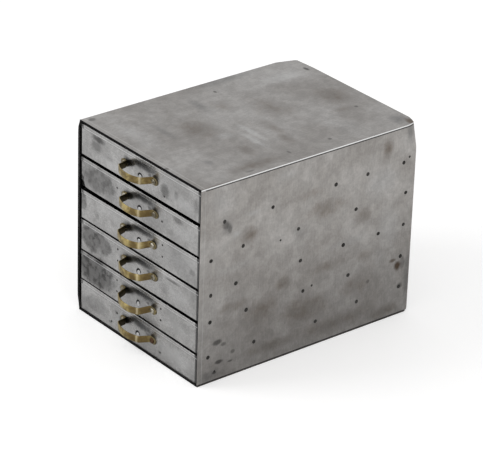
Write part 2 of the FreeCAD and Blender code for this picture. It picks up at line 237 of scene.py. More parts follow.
def use_clouds(tree, place, size, stretch=(1, 1, 1), low=0.35, high=0.65, seed=0.0):
    return use_group(tree, CLOUDS, place, {
        "Cloud Size": size, "Stretch": stretch, "Low": low, "High": high, "Seed": seed,
    })


def use_brush_lines(tree, place, stretch, seed=0.0):
    return use_group(tree, BRUSH_LINES, place, {"Stretch": stretch, "Seed": seed})


def use_stains(tree, place, spots):
    """The strongest of several stains: a spot is centre and radii in mm, raggedness, softness, amount."""
    total = None
    for centre, radii, ragged, soft, amount in spots:
        mask = use_group(tree, STAIN, place, {
            "Centre": [value * MM for value in centre], "Radii": [value * MM for value in radii],
            "Ragged": ragged, "Soft": soft, "Amount": amount,
        })
        total = mask if total is None else maths(tree, "MAXIMUM", total, mask)
    return total


# %% [markdown]
# ## The case steel
# Bare steel is a metal, so its colour is what it reflects. A metallic Principled shader with a grey
# base and a middling roughness reflects the pale room as a soft even tone. The old black paint is
# still on the inner faces, so a rounded box inside the case tells the shader which faces are inside.
# Bent sheets remember where they were before the bending, so a dent never counts as an inner face.
# The large brown clouds lie where the photograph shows them, and noise frays their edges.


# %% Parts that the metal materials share
# black for the paint kept on the inner faces, and for painted shade on the edges
BLACK_PAINT_AND_SHADE = (0.003, 0.003, 0.003, 1)


def start_metal(name, metallic=0.9):
    made = bpy.data.materials.new(name)
    made.use_nodes = True
    tree = made.node_tree
    shader = tree.nodes["Principled BSDF"]
    shader.inputs["Metallic"].default_value = metallic
    place = add(tree, "ShaderNodeTexCoord").outputs["Object"]
    return made, tree, shader, place


def tone_by(tree, tone, masks):
    """Darken and lighten a tone by masks, each with its factors at the low and the high end."""
    for mask, low, high in masks:
        tone = blend_colour(tree, 1.0, tone, ramp(tree, mask, 0.15, 0.85, low, high), "MULTIPLY")
    return tone


def lay_paint_and_shade(tree, shader, tone, rough, metallic, painted, added_rough):
    """Link the surface, with black where painted is 1, for kept paint and for painted shade: it isn't metal
    and hardly shines.
    """
    links = {
        "Base Color": blend_colour(tree, painted, tone, BLACK_PAINT_AND_SHADE),
        "Roughness": maths(tree, "ADD", rough, maths(tree, "MULTIPLY", painted, added_rough)),
        "Metallic": maths(tree, "SUBTRACT", metallic, maths(tree, "MULTIPLY", painted, metallic)),
        "Specular IOR Level": maths(tree, "SUBTRACT", 0.5, maths(tree, "MULTIPLY", painted, 0.4)),
    }
    for name, value in links.items():
        tree.links.new(value, shader.inputs[name])


def add_bump(tree, shader, height, strength=0.15, depth=0.15 * MM):
    bump = add(tree, "ShaderNodeBump", {"Strength": strength, "Distance": depth, "Height": height})
    tree.links.new(bump.outputs["Normal"], shader.inputs["Normal"])


def rest_place(tree):
    """Where a point of a bent sheet was before the bending, as the mesh remembers it."""
    return add(tree, "ShaderNodeAttribute", attribute_name="rest_place").outputs["Vector"]


def inside_case(tree, place, rear_inset):
    """1 on faces that lie more than half a sheet inside the case's outer surface."""
    bend = 4.5 * MM
    middle = Vector((0, -rear_inset / 2, HEIGHT / 2))
    half = Vector((HALF_WIDTH - bend, HALF_DEPTH - rear_inset / 2 - bend, HEIGHT / 2 - bend))
    centred = vector_maths(tree, "SUBTRACT", place, middle)
    outside = vector_maths(tree, "SUBTRACT", vector_maths(tree, "ABSOLUTE", centred), half)
    reach = vector_maths(tree, "LENGTH", vector_maths(tree, "MAXIMUM", outside))
    return ramp(tree, reach, bend - SHEET * 0.7, bend - SHEET * 0.45, 1.0, 0.0)


def black_front_edges(tree, parts):
    """1 on the narrow front edges of the case, black for kept paint and for painted shade, but not on the
    right one.
    """
    at_front = maths(tree, "LESS_THAN", parts["Y"], -HALF_DEPTH + 0.7 * MM)
    left_of_right_wall = maths(tree, "LESS_THAN", parts["X"], HALF_WIDTH - 1.2 * MM)
    return maths(tree, "MULTIPLY", at_front, left_of_right_wall)


def band(tree, value, low, high, soft=0.4 * MM):
    """1 between two places along one axis, with soft ends."""
    rises = ramp(tree, value, low - soft, low + soft)
    falls = ramp(tree, value, high - soft, high + soft, 1.0, 0.0)
    return maths(tree, "MULTIPLY", rises, falls)


# %% Case steel
def make_case_steel(name, light, dark, brown, brush, places, falls=0.0, rear_inset=0.0, seed=0.0):
    """places holds the stains by kind: brown, grey, pale, dark and rust."""
    made, tree, shader, place = start_metal(name)
    rest = rest_place(tree)
    parts = add(tree, "ShaderNodeSeparateXYZ", {0: rest}).outputs
    broad = use_clouds(tree, place, 0.09, (1, 1, 1), 0.34, 0.68, seed)
    mottle = use_clouds(tree, place, 0.016, (1, 1, 1), 0.34, 0.68, seed + 3)
    grain = use_clouds(tree, place, 0.0028, (1, 1, 1), 0.3, 0.7, seed + 5)
    lines = use_brush_lines(tree, place, brush, seed)
    tone = blend_colour(tree, broad, dark, light)
    pale = use_stains(tree, place, places["pale"])
    tone = blend_colour(tree, pale, tone, grey(200, -1))
    shade = use_stains(tree, place, places["grey"])
    tone = blend_colour(tree, shade, tone, grey(104, 0))
    warm = maths(tree, "MULTIPLY", use_stains(tree, place, places["brown"]),
                 ramp(tree, mottle, 0.0, 1.0, 0.55, 1.15))
    tone = blend_colour(tree, warm, tone, brown)
    tone = tone_by(tree, tone, ((mottle, 0.93, 1.06), (grain, 0.95, 1.04), (lines, 0.88, 1.10)))
    if falls:
        # painted shade: the walls are darker towards the bottom
        share = ramp(tree, parts["Z"], 0.0, HEIGHT * 0.8, 1.0 - falls, 1.0)
        tone = blend_colour(tree, 1.0, tone, share, "MULTIPLY")
    tone = blend_colour(tree, use_stains(tree, place, places["dark"]), tone, grey(52, 2))
    tone = blend_colour(tree, use_stains(tree, place, places["rust"]), tone, grey(62, 14))
    # a painted highlight along the top sheet's side edges, and painted shade in the seam below them and along
    # the bottom of the walls
    edge = maths(tree, "MULTIPLY",
                 maths(tree, "GREATER_THAN", maths(tree, "ABSOLUTE", parts["X"]), HALF_WIDTH - 0.9 * MM),
                 maths(tree, "GREATER_THAN", parts["Z"], HEIGHT - SHEET * 1.05))
    tone = blend_colour(tree, edge, tone, grey(236))
    behind_hem = maths(tree, "GREATER_THAN", parts["Y"], -HALF_DEPTH + HEM_DEPTH)
    seam_shade = maths(tree, "MAXIMUM", maths(tree, "MULTIPLY", behind_hem, band(
        tree, parts["Z"], HEIGHT - 3.0 * MM, HEIGHT - SHEET * 1.1, 0.3 * MM)),
        band(tree, parts["Z"], SHEET * 0.9, 3.0 * MM))
    tone = blend_colour(tree, maths(tree, "MULTIPLY", seam_shade, 0.85), tone, grey(36, 1))
    # a painted highlight along the bend of the front hem, 7 mm behind the front edge
    crease_highlight = band(tree, parts["Y"], -HALF_DEPTH + HEM_DEPTH - 0.4 * MM, -HALF_DEPTH + HEM_DEPTH + 0.6 * MM)
    tone = blend_colour(tree, maths(tree, "MULTIPLY", crease_highlight, 0.3), tone, grey(210))
    # black: kept paint on the inner faces, and kept paint with painted shade on the front edges
    painted = maths(tree, "MAXIMUM", inside_case(tree, rest, rear_inset), black_front_edges(tree, parts))
    lay_paint_and_shade(tree, shader, tone, ramp(tree, broad, 0.0, 1.0, 0.46, 0.36), 0.9, painted, 0.3)
    add_bump(tree, shader, maths(tree, "MULTIPLY", maths(tree, "ADD", lines, grain), 0.5))
    return made

# %% Where the stains lie on the case
# Stains on the top: centre X and distance behind the front edge, then the radii along X and Y.
TOP_PLACES = {
    "brown": [(0, 350, 38, 36, 0.7), (-20, 247, 52, 34, 0.6), (35, 208, 46, 14, 0.5),
              (-20, 115, 44, 34, 0.7), (75, 130, 28, 14, 0.6), (117, 110, 17, 62, 0.6),
              (75, 200, 28, 13, 0.6), (45, 330, 12, 26, 0.4), (-65, 195, 26, 22, 0.4)],
    "grey": [(-82, 168, 34, 12, 0.5), (-134, 250, 14, 80, 0.5), (75, 62, 14, 10, 0.45),
             (118, 372, 24, 18, 0.6), (-40, 72, 55, 9, 0.35), (100, 300, 22, 30, 0.2)],
    "pale": [(55, 160, 42, 10, 0.3), (-92, 330, 24, 60, 0.22), (70, 290, 50, 36, 0.12),
             (-50, 34, 95, 26, 0.22), (30, 174, 50, 8, 0.3), (20, 135, 14, 20, 0.2)],
    "dark": [(-97, 380, 8, 4, 0.85), (49, 353, 4, 4, 0.6), (112, 250, 4, 4, 0.6), (-108, 217, 5, 3, 0.7),
             (113, 175, 6, 3, 0.45), (59, 3, 6, 4, 0.6), (-131, 14, 6, 8, 0.6), (130, 92, 3, 10, 0.4)],
    "rust": [(133, 384, 14, 10, 0.8), (139, 30, 3, 40, 0.3)],
}
# Stains on the right side: distance behind the front edge and height, then the radii along Y and Z.
SIDE_PLACES = {
    "brown": [(85, 215, 24, 17, 0.7), (225, 217, 48, 22, 0.6), (335, 278, 15, 22, 0.7),
              (295, 182, 22, 18, 0.6), (150, 118, 20, 15, 0.7), (235, 122, 48, 13, 0.5),
              (300, 118, 22, 14, 0.4), (60, 110, 38, 13, 0.5), (112, 88, 40, 30, 0.6),
              (190, 65, 74, 28, 0.6), (285, 75, 40, 24, 0.55), (250, 24, 110, 18, 0.5),
              (130, 25, 64, 13, 0.6), (345, 15, 40, 13, 0.6), (195, 246, 40, 14, 0.4)],
    "grey": [(48, 236, 12, 16, 0.5), (378, 300, 14, 40, 0.5), (385, 60, 8, 60, 0.5),
             (20, 12, 30, 12, 0.4), (180, 190, 22, 18, 0.25)],
    "pale": [(35, 275, 34, 32, 0.22), (150, 288, 30, 12, 0.2), (325, 228, 42, 36, 0.3),
             (345, 150, 30, 50, 0.2), (62, 222, 12, 6, 0.35), (92, 246, 20, 6, 0.3),
             (60, 170, 60, 12, 0.15), (262, 150, 60, 10, 0.15), (330, 100, 20, 34, 0.15)],
    "dark": [(44, 240, 8, 8, 0.45), (51, 233, 5, 8, 0.4), (34, 61, 11, 6, 0.7), (45, 55, 7, 4, 0.5),
             (37, 29, 9, 4, 0.75), (30, 14, 5, 3, 0.75), (58, 24, 6, 2, 0.6), (62, 38, 5, 4, 0.5),
             (372, 47, 7, 6, 0.6), (310, 73, 4, 4, 0.45), (203, 99, 2, 2, 0.6), (375, 84, 6, 14, 0.4)],
    "rust": [(366, 82, 9, 11, 0.95), (356, 93, 9, 4, 0.7)],
}
SOFTNESS = {"brown": (0.32, 0.95), "grey": (0.3, 0.9), "pale": (0.3, 0.95), "dark": (0.25, 0.6),
            "rust": (0.3, 0.7)}


def spread(table, put):
    """Turn rows of a table into stains, with put giving the centre and radii in three axes."""
    return {kind: [put(*row[:4]) + SOFTNESS[kind] + (row[4],) for row in rows]
            for kind, rows in table.items()}


# %% The four case materials
front_mm, side_mm, top_mm = -HALF_DEPTH / MM, HALF_WIDTH / MM, HEIGHT / MM
top_places = spread(TOP_PLACES, lambda x, y, rx, ry: ((x, front_mm + y, top_mm), (rx, ry, 20)))
side_places = spread(SIDE_PLACES, lambda y, z, ry, rz: ((side_mm, front_mm + y, z), (60, ry, rz)))
back_places = spread(SIDE_PLACES, lambda y, z, ry, rz: ((side_mm - y * 0.7, -front_mm, z), (ry, 60, rz)))
left_places = spread(SIDE_PLACES, lambda y, z, ry, rz: ((-side_mm, -front_mm - y, z), (60, ry, rz)))
top_steel = make_case_steel("top steel", grey(152, 2), grey(134, 3), grey(82, 9), (900, 90, 900),
                            top_places, seed=2.0)
side_steel = make_case_steel("side steel", grey(188, 3), grey(164, 4), grey(104, 10), (900, 900, 90),
                             side_places, falls=0.36, seed=5.0)
left_steel = make_case_steel("left steel", grey(188, 3), grey(164, 4), grey(104, 10), (900, 900, 90),
                             left_places, falls=0.36, seed=8.0)
back_steel = make_case_steel("back steel", grey(176, 3), grey(160, 4), grey(112, 8), (900, 900, 90),
                             back_places, falls=0.3, rear_inset=SHEET, seed=11.0)
CASE_STEEL = {"top_panel": top_steel, "left_side_panel": left_steel, "right_side_panel": side_steel,
              "bottom_panel": side_steel, "back_panel": back_steel}
print("case steel for", ", ".join(CASE_STEEL))

# %% [markdown]
# ## The drawer fronts
# The fronts are the same steel, rubbed brighter, with stains that differ from drawer to drawer. Their
# places were read from the photograph and are written in millimetres across and up. Their top and
# bottom edges are black as painted shade, which is why the gaps between the drawers look so dark.


# %% Front steel
# Each row is a stain: centre X and height, radii along X and Z, and amount.
FRONT_RUSTY = [(-98, 226, 46, 24, 0.75), (-112, 126, 34, 24, 0.95), (-84, 128, 22, 20, 0.75),
               (-98, 78, 52, 30, 1.0), (-120, 76, 26, 28, 1.0), (-98, 24, 36, 16, 0.4),
               (-133, 180, 9, 20, 0.75)]
FRONT_SPOTS = [
    (-98, 289, 21, 8, 0.9), (-103, 277, 17, 13, 0.5), (-70, 270, 12, 9, 0.25), (57, 271, 14, 15, 0.7),
    (83, 274, 6, 9, 0.45), (128, 275, 9, 17, 0.4), (88, 238, 15, 8, 0.6), (72, 214, 8, 6, 0.25),
    (-100, 168, 8, 7, 0.3), (122, 172, 9, 7, 0.4), (78, 139, 24, 3, 0.65), (60, 118, 10, 6, 0.2),
    (110, 80, 20, 10, 0.15), (55, 262, 30, 5, 0.2), (-66, 12, 5, 3, 0.6), (-52, 33, 5, 4, 0.5),
    (52, 15, 5, 4, 0.5), (90, 18, 20, 8, 0.15),
]
FRONT_DULL = [(88, 176, 60, 30, 0.4), (60, 286, 60, 9, 0.2)]
FRONT_RUBBED = [(92, 24, 60, 22, 0.55), (-30, 20, 60, 16, 0.3), (100, 268, 40, 14, 0.4),
                (-60, 262, 50, 10, 0.4), (100, 222, 40, 16, 0.3), (-66, 186, 44, 14, 0.3),
                (95, 122, 40, 14, 0.3), (95, 72, 40, 16, 0.3)]
# a painted shadow and reflection of each pull lies dark above it, and painted shade lies round its two feet
PULL_SHADE_SPOTS = [(10, 11, 38, 8, 0.8), (-26, 6, 17, 9, 0.95), (-38, -1, 9, 8, 0.9), (36, 5, 12, 8, 0.85),
              (23, 4, 7, 4, 0.6)]
FRONT_PULL_SHADE = [(x, pull + up, *rest) for pull in PULL_HEIGHTS for x, up, *rest in PULL_SHADE_SPOTS]


def on_fronts(tree, place, rows, ragged, soft):
    return use_stains(tree, place, [((x, front_mm + 1, z), (rx, 30, rz), ragged, soft, amount)
                                    for x, z, rx, rz, amount in rows])


def edges_of_fronts(tree):
    """1 on the faces made black as painted shade: above, below, at the ends and behind."""
    normal = add(tree, "ShaderNodeNewGeometry").outputs["Normal"]
    facing = add(tree, "ShaderNodeSeparateXYZ", {0: normal}).outputs
    level = maths(tree, "GREATER_THAN", maths(tree, "ABSOLUTE", facing["Z"]), 0.8)
    at_end = maths(tree, "GREATER_THAN", maths(tree, "ABSOLUTE", facing["X"]), 0.8)
    behind = maths(tree, "GREATER_THAN", facing["Y"], 0.5)
    return maths(tree, "MAXIMUM", maths(tree, "MAXIMUM", level, at_end), behind)


def make_front_steel():
    made, tree, shader, place = start_metal("front steel", 0.95)
    parts = add(tree, "ShaderNodeSeparateXYZ", {0: place}).outputs
    broad = use_clouds(tree, place, 0.05, (1, 1, 1), 0.34, 0.66, 11.0)
    blotch = use_clouds(tree, place, 0.013, (1, 1, 1), 0.40, 0.64, 13.0)
    grain = use_clouds(tree, place, 0.0028, (1, 1, 1), 0.3, 0.7, 15.0)
    lines = use_brush_lines(tree, place, (90, 900, 900), 4.0)
    tone = blend_colour(tree, broad, grey(160, 1), grey(186, 1))
    tone = tone_by(tree, tone, ((blotch, 0.97, 1.03), (grain, 0.90, 1.08), (lines, 0.88, 1.12)))
    # the left part of three fronts is duller, up to a straight edge
    left_part = ramp(tree, parts["X"], -55 * MM, -52 * MM, 1.0, 0.0)
    low_drawers = band(tree, parts["Z"], 53 * MM, 149 * MM, 1 * MM)
    second = band(tree, parts["Z"], 203 * MM, 249 * MM, 1 * MM)
    held = maths(tree, "MULTIPLY", left_part, maths(tree, "MAXIMUM", low_drawers, second))
    tone = blend_colour(tree, maths(tree, "MULTIPLY", held, 0.16), tone, grey(110))
    rusty = maths(tree, "MULTIPLY", on_fronts(tree, place, FRONT_RUSTY, 0.35, 0.45),
                  ramp(tree, blotch, 0.0, 1.0, 0.62, 1.0))
    tone = blend_colour(tree, rusty, tone, grey(76, 1))
    for rows, ragged, soft, colour in (
            (FRONT_SPOTS, 0.25, 0.7, grey(80, 1)), (FRONT_DULL, 0.2, 0.9, grey(132)),
            (FRONT_RUBBED, 0.3, 0.9, grey(206)), (FRONT_PULL_SHADE, 0.35, 0.85, grey(44, -1))):
        tone = blend_colour(tree, on_fronts(tree, place, rows, ragged, soft), tone, colour)
    # painted shade in the corner between a front's right end and the case
    corner = band(tree, parts["X"], 133.2 * MM, 139 * MM, 0.5 * MM)
    tone = blend_colour(tree, maths(tree, "MULTIPLY", corner, 0.8), tone, grey(44))
    # painted shade and a painted highlight mark the hem's edge: a fine dark line with a bright one above it,
    # 6 mm below the front's top
    flat_z = add(tree, "ShaderNodeSeparateXYZ", {0: rest_place(tree)}).outputs["Z"]
    start = FRONT_TOPS[-1] - 40 * MM
    up_front = maths(tree, "MODULO", maths(tree, "SUBTRACT", flat_z, start), BAY_PITCH)
    for low, high, colour, amount in ((33.3, 34.3, grey(56), 0.8), (34.7, 35.7, grey(235), 0.55)):
        line = band(tree, up_front, low * MM, high * MM, 0.2 * MM)
        tone = blend_colour(tree, maths(tree, "MULTIPLY", line, amount), tone, colour)
    rough = maths(tree, "ADD", ramp(tree, broad, 0.0, 1.0, 0.30, 0.24), maths(tree, "MULTIPLY", rusty, 0.2))
    # black as painted shade on the faces that look into the gaps
    lay_paint_and_shade(tree, shader, tone, rough, 0.95, edges_of_fronts(tree), 0.4)
    add_bump(tree, shader, maths(tree, "MULTIPLY", maths(tree, "ADD", lines, grain), 0.5))
    return made


front_steel = make_front_steel()
print("front stains", sum(len(rows) for rows in (FRONT_RUSTY, FRONT_SPOTS, FRONT_DULL, FRONT_RUBBED)))

# %% [markdown]
# ## Inside steel
# The trays, runners and nuts were never rubbed bright. They keep a dull dark coat, lighter in clouds.


# %% Dull steel
def make_dull_steel(name, light, dark, roughness):
    made, tree, shader, place = start_metal(name, 0.6)
    broad = use_clouds(tree, place, 0.03, (1, 1, 1), 0.35, 0.65, 21.0)
    fine = use_clouds(tree, place, 0.004, (1, 1, 1), 0.4, 0.7, 23.0)
    tone = blend_colour(tree, broad, dark, light)
    tone = blend_colour(tree, maths(tree, "MULTIPLY", fine, 0.35), tone, dark)
    tree.links.new(tone, shader.inputs["Base Color"])
    tree.links.new(ramp(tree, broad, 0.0, 1.0, roughness + 0.1, roughness), shader.inputs["Roughness"])
    add_bump(tree, shader, fine, 0.1, 0.1 * MM)
    return made


tray_steel = make_dull_steel("tray steel", grey(70, 1), grey(40, 1), 0.45)
# the runners keep a dull dark coat, and are made almost black as painted shade in the gaps
runner_steel = make_dull_steel("runner steel", grey(40, 1), grey(20, 1), 0.5)
nut_steel = make_dull_steel("nut steel", grey(128, 2), grey(86, 3), 0.4)
for name, node in nodes.items():
    for matches, material in ((name.endswith("_tray"), tray_steel), (name.endswith("_nuts"), nut_steel),
                              (name.startswith("runner"), runner_steel)):
        if matches:
            node.data.materials.clear()
            node.data.materials.append(material)
            print(name, "wears", material.name)

# %% [markdown]
# ## Sheets bent by use
# The photograph shows a case that has been knocked about: the left wall bows outwards, both rear top
# corners are pushed in, and every drawer front sits a little differently, so the gaps open and close.
# A bent sheet is a finer copy of its solid, with each point moved by a rule, and it stands in for the
# solid in the dressed part.


# %% Bend copies of the sheets
def ease(value, low, high):
    """0 below low, 1 above high and a smooth rise between."""
    share = min(max((value - low) / (high - low), 0), 1)
    return share * share * (3 - 2 * share)


def put_piece(piece_name, data, material, body, node_name=None):
    """Link a piece to the scene and to its body, in the place of a solid if one is named."""
    piece = bpy.data.objects.new(piece_name, data)
    bpy.context.scene.collection.objects.link(piece)
    if material:
        data.materials.clear()
        data.materials.append(material)
    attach(piece, body)
    if node_name:
        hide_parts(node_name)
    return piece


def bent_copy(node_name, piece_name, move, material, body, longest=12 * MM):
    """A finer copy of a solid with every point moved, which remembers the place before the move."""
    mesh = bmesh.new()
    mesh.from_mesh(nodes[node_name].data)
    bmesh.ops.remove_doubles(mesh, verts=mesh.verts, dist=1e-6)
    for _ in range(6):
        long_edges = [edge for edge in mesh.edges if edge.calc_length() > longest]
        if not long_edges:
            break
        bmesh.ops.subdivide_edges(mesh, edges=long_edges, cuts=1)
        bmesh.ops.triangulate(mesh, faces=[face for face in mesh.faces if len(face.verts) > 3])
    rest = mesh.verts.layers.float_vector.new("rest_place")
    for vertex in mesh.verts:
        vertex[rest] = vertex.co
        vertex.co = move(vertex.co.copy())
    data = bpy.data.meshes.new(piece_name)
    mesh.to_mesh(data)
    mesh.free()
    data.shade_smooth()
    data.set_sharp_from_angle(angle=math.radians(28))
    return put_piece(piece_name, data, material, body, node_name)


def push_in_corners(point):
    behind = HALF_DEPTH - point.y
    below = max(1 - (HEIGHT - point.z) / (40 * MM), 0)
    for side, along_x, along_y, in_x, in_y in ((-1, 46, 34, 8, 0.5), (1, 19, 19, 5, 5)):
        beside = HALF_WIDTH - side * point.x
        share = max(1 - beside / (along_x * MM), 0) * max(1 - behind / (along_y * MM), 0) * below
        point.x -= side * in_x * MM * share
        point.y -= in_y * MM * share
        point.z -= 1.2 * MM * share
    return point


def bow_left_wall(point):
    from_front = point.y + HALF_DEPTH
    rise = ease(point.z, 3 * MM, 26 * MM) * ease(HEIGHT - point.z, 2 * MM, 15 * MM)
    point.x -= 3.7 * MM * rise * (1 - 0.8 * ease(from_front, 30 * MM, 260 * MM))
    return push_in_corners(point)


for name, move in (("top_panel", push_in_corners), ("left_side_panel", bow_left_wall),
                   ("right_side_panel", push_in_corners), ("back_panel", push_in_corners),
                   ("bottom_panel", push_in_corners)):
    panel = bent_copy(name, "bent_" + name, move, CASE_STEEL[name], "cabinet")
    print(name, len(panel.data.polygons), "faces")

# How far each front's corners stray from the even spacing, in millimetres: bottom left, bottom right,
# top left and top right.
FRONT_BENDS = {
    1: (0.0, 0.3, 0.9, 1.2), 2: (0.1, -0.5, -0.7, -1.1), 3: (-1.1, -0.7, -2.3, -0.1),
    4: (-2.0, -0.2, 0.3, -0.5), 5: (0.4, -1.2, -0.1, -1.1), 6: (0.7, 0.0, 2.8, -0.8),
}


def front_bend(number):
    low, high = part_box(f"drawer_{number}_front")
    corners = [value * MM for value in FRONT_BENDS[number]]

    def move(point):
        across = (point.x - low.x) / (high.x - low.x)
        up = (point.z - low.z) / (high.z - low.z)
        below = corners[0] + (corners[1] - corners[0]) * across
        above = corners[2] + (corners[3] - corners[2]) * across
        corner = max(1 - (point.x - low.x) / (10 * MM), 0) * max(1 - (point.z - low.z) / (10 * MM), 0)
        point.z += below + (above - below) * up
        if number == 2:
            point.z += 5 * MM * corner
            point.x += 4 * MM * corner
            point.y += 1 * MM * corner
        return point
    return move


for number in DRAWERS:
    bent_copy(f"drawer_{number}_front", f"drawer_{number}_bent_front", front_bend(number), front_steel,
              f"drawer_{number}")

# %% [markdown]
# ## Brass
# The pulls are old brass: gold where fingers rub, with painted shade that makes them brown in the bends and
# almost black behind the grip. The mesh carries that painted shade as an attribute, so it follows the strap
# round.


# %% Brass materials
def make_brass(name, gold, brown, on_strap):
    made, tree, shader, place = start_metal(name, 0.95)
    parts = add(tree, "ShaderNodeSeparateXYZ", {0: place}).outputs
    broad = use_clouds(tree, place, 0.012, (1, 1, 1), 0.38, 0.66, 31.0)
    fine = use_clouds(tree, place, 0.002, (1, 1, 1), 0.35, 0.7, 33.0)
    tone = blend_colour(tree, broad, brown, gold)
    tone = blend_colour(tree, maths(tree, "MULTIPLY", fine, 0.25), tone, brown)
    if on_strap:
        # the strap is darker on both sides of the right bend, and a painted highlight lies pale along the
        # bend itself
        patch = maths(tree, "MAXIMUM", band(tree, parts["X"], 9 * MM, 18.5 * MM, 3 * MM),
                      band(tree, parts["X"], 24 * MM, 31 * MM, 2 * MM))
        tone = blend_colour(tree, maths(tree, "MULTIPLY", patch, 0.7), tone, (0.13, 0.085, 0.035, 1))
        feet = ramp(tree, maths(tree, "ABSOLUTE", parts["X"]), 29 * MM, 33 * MM, 0.0, 0.75)
        tone = blend_colour(tree, feet, tone, (0.16, 0.135, 0.085, 1))
        rubbed = band(tree, parts["X"], 20 * MM, 22.5 * MM, 1 * MM)
        tone = blend_colour(tree, maths(tree, "MULTIPLY", rubbed, 0.55), tone, (0.72, 0.62, 0.42, 1))
        strap_shade_mask = add(tree, "ShaderNodeAttribute", attribute_name="strap_shade").outputs["Fac"]
        tone = blend_colour(tree, strap_shade_mask, tone, (0.022, 0.017, 0.008, 1))
    tree.links.new(tone, shader.inputs["Base Color"])
    tree.links.new(ramp(tree, broad, 0.0, 1.0, 0.42, 0.28), shader.inputs["Roughness"])
    add_bump(tree, shader, fine, 0.15, 0.1 * MM)
    return made


pull_brass = make_brass("pull brass", (0.55, 0.44, 0.185, 1), (0.20, 0.15, 0.065, 1), True)
screw_brass = make_brass("screw brass", (0.55, 0.52, 0.44, 1), (0.16, 0.14, 0.10, 1), False)
rusty_screw = make_brass("rusty screw", (0.11, 0.06, 0.035, 1), (0.04, 0.022, 0.015, 1), False)
print("brass:", ", ".join(made.name for made in (pull_brass, screw_brass, rusty_screw)))

# %% [markdown]
# ## Bow pulls
# A pull is one strap bent in a press: two round-ended feet, two legs, and a grip that bows outwards.
# The way to model it is the way it is made. A line is bent through the strap's corners, and an eased
# rectangle is carried along it, narrowing in a half circle at each end. Each pull sits and droops in
# its own way, and its two screws move with it.

# %% Pull sizes from the frame
pull_low, pull_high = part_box("drawer_1_handle")
PULL_HALF = pull_high.x
PULL_REACH = pull_high.y - pull_low.y
STRAP_WIDTH = pull_high.z - pull_low.z
STRAP_THICK = 1.5 * MM
LEFT_SHOULDER, RIGHT_SHOULDER = -27 * MM, 22.5 * MM
LEFT_FOOT, RIGHT_FOOT = -30 * MM, 29 * MM
SHOULDER_REACH = 16.8 * MM
# drawer: shift to the right, rise of the left foot, rise of the right foot and droop of the grip, in
# millimetres, then the turns of the two screws' slots, in degrees
PULL_SET = {
    1: (-0.8, 1.2, -1.4, 0.0, 70, 20), 2: (1.5, 1.2, -1.0, 0.0, 35, 60), 3: (-1.5, -0.3, -0.2, 2.0, 110, 5),
    4: (1.8, 1.2, 0.6, 2.0, 20, 80), 5: (0.8, 1.8, -2.4, 4.0, 150, 35), 6: (1.6, 3.2, -0.3, -1.0, 95, 130),
}
print("pull", PULL_HALF * 2, PULL_REACH, STRAP_WIDTH)


def bent_line(corners, steps=6):
    """A line through the corners. A corner is a point and the radius of its bend, or 0."""
    line = [corners[0][0]]
    for (before, _), (corner, radius), (after, _) in zip(corners, corners[1:], corners[2:]):
        arriving = (corner - before).normalized()
        leaving = (after - corner).normalized()
        turn = arriving.angle(leaving)
        if not radius or turn < 0.01:
            line.append(corner)
            continue
        start = corner - arriving * radius * math.tan(turn / 2)
        inward = (leaving - arriving * arriving.dot(leaving)).normalized()
        for step in range(steps + 1):
            angle = turn * step / steps
            line.append(start + arriving * radius * math.sin(angle) + inward * radius * (1 - math.cos(angle)))
    line.append(corners[-1][0])
    return line


def strap_line():
    """The strap's middle line, in X and in reach from the drawer's face."""
    middle = STRAP_THICK / 2
    radius = STRAP_WIDTH / 2
    corners = []
    for step in range(9):
        corners.append((Vector((-PULL_HALF + radius * (1 - math.cos(math.pi / 16 * step)), middle)), 0))
    corners.append((Vector((LEFT_FOOT, middle)), 2.2 * MM))
    half = (RIGHT_SHOULDER - LEFT_SHOULDER) / 2
    centre = (RIGHT_SHOULDER + LEFT_SHOULDER) / 2
    rise = PULL_REACH - SHOULDER_REACH
    for step in range(15):
        share = step / 7 - 1
        reach = SHOULDER_REACH + rise * (1 - abs(share) ** 2.2) - middle
        corners.append((Vector((centre + share * half, reach)), 1.6 * MM if step in (0, 14) else 0))
    corners.append((Vector((RIGHT_FOOT, middle)), 2.2 * MM))
    for step in range(8, -1, -1):
        corners.append((Vector((PULL_HALF - radius * (1 - math.cos(math.pi / 16 * step)), middle)), 0))
    return bent_line(corners)


def section(half_width, half_thick):
    """Points round the strap's section, with eased edges: width first, thickness second."""
    round_edge = min(0.45 * MM, half_width * 0.9, half_thick * 0.9)
    points = []
    for side_width, side_thick, start in ((1, 1, 0), (-1, 1, 90), (-1, -1, 180), (1, -1, 270)):
        for step in range(3):
            angle = math.radians(start + 45 * step)
            points.append((side_width * (half_width - round_edge) + round_edge * math.cos(angle),
                           side_thick * (half_thick - round_edge) + round_edge * math.sin(angle)))
    return points


def rise_at(number, x):
    """How far a pull is lifted at X, as its two feet don't sit level."""
    _, left, right_rise, _, _, _ = PULL_SET[number]
    share = (x + SCREW_X) / (2 * SCREW_X)
    return (left + (right_rise - left) * share) * MM


